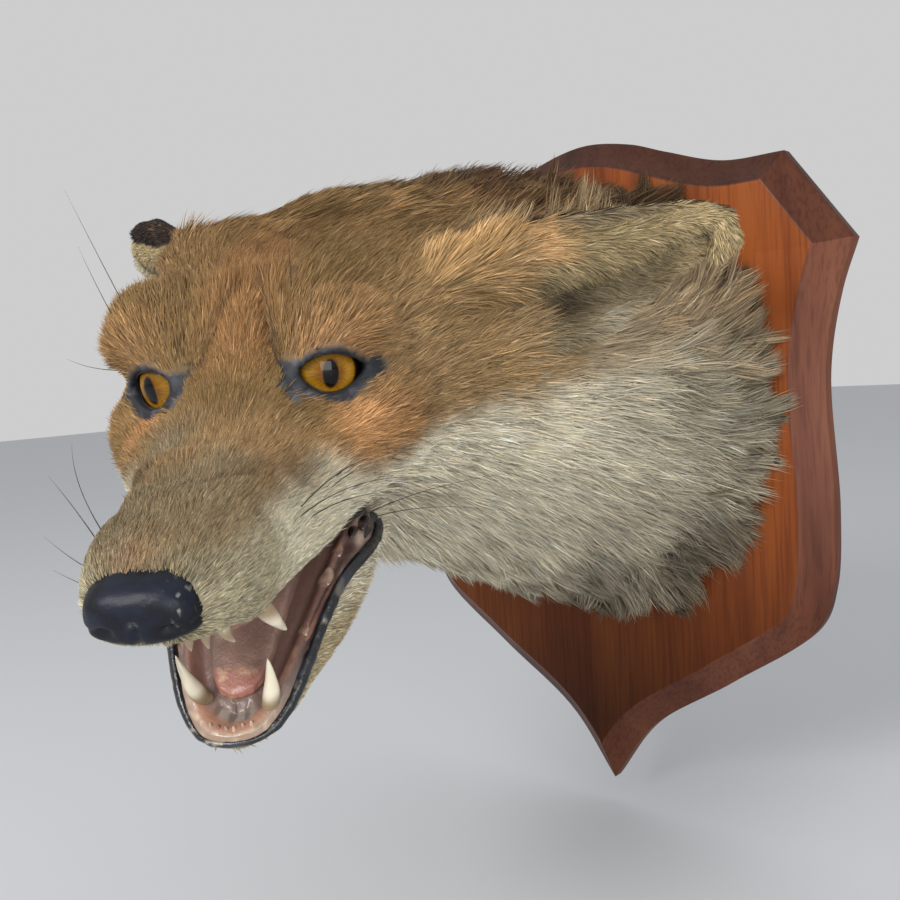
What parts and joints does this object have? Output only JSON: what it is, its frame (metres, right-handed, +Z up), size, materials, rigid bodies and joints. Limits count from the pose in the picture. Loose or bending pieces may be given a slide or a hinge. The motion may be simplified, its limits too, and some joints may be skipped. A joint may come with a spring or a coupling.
{
  "type": "taxidermy fox head on wall shield",
  "caption": "Mounted red fox head and neck, mouth open in a snarl, on a shield-shaped wooden wall plaque.",
  "frame": {"origin": "on the back face of the shield, on its vertical centre line, halfway up its height", "axes": "+Y into the wall the shield hangs on, +Z up, +X to the fox's left; the head looks out along -Y and turns towards +X"},
  "size_m": [0.208, 0.253, 0.26],
  "materials": {
    "wood": "satin polished mahogany",
    "coat": "short fur, rusty tan with olive grey",
    "coat_pale": "longer soft fur, cream and grey",
    "coat_ear": "short soft fur, cream in front, dark brown behind",
    "eye": "glossy glass eye, amber with a slit pupil",
    "nose": "dark painted nose leather, half gloss",
    "gums": "painted gums, satin, with ivory teeth",
    "tongue": "painted tongue, satin"
  },
  "bodies": {
    "root": {"shield_board": "wood", "neck": "coat_pale", "head": "coat", "muzzle": "coat", "lower_jaw": "coat_pale", "ear_left": "coat_ear", "ear_right": "coat_ear", "eye_left": "eye", "eye_right": "eye", "nose_pad": "nose", "gums_teeth_upper": "gums", "gums_teeth_lower": "gums", "tongue": "tongue"}
  },
  "joints": []
}
